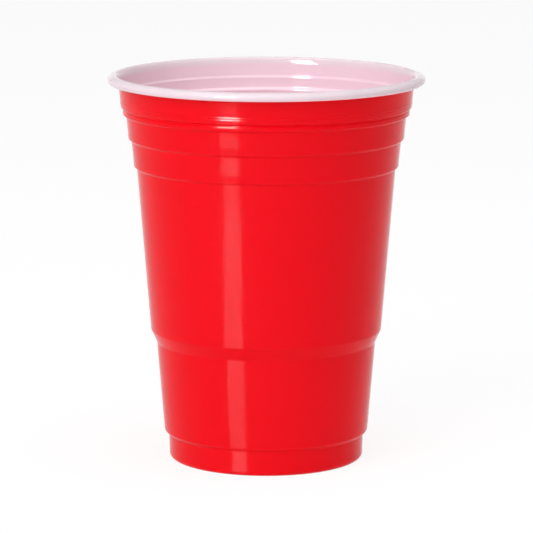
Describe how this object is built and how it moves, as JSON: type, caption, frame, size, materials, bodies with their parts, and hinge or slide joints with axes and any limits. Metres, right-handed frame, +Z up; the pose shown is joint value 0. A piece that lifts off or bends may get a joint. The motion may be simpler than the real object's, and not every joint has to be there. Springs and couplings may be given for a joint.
{
  "type": "plastic party cup",
  "caption": "Tapered disposable party cup formed from one thin plastic sheet, with a rolled rim, stepped bands under a snap bead, a bevelled step and a raised base.",
  "frame": {"origin": "centre of the standing ring, in the plane of the table", "axes": "+Z up along the cup's axis, from the standing ring to the rim; the cup is round, so X and Y are any two square directions"},
  "size_m": [0.096, 0.096, 0.1176],
  "materials": {
    "cup": "glossy red outside, white inside"
  },
  "bodies": {
    "root": {"cup": "cup"}
  },
  "joints": []
}
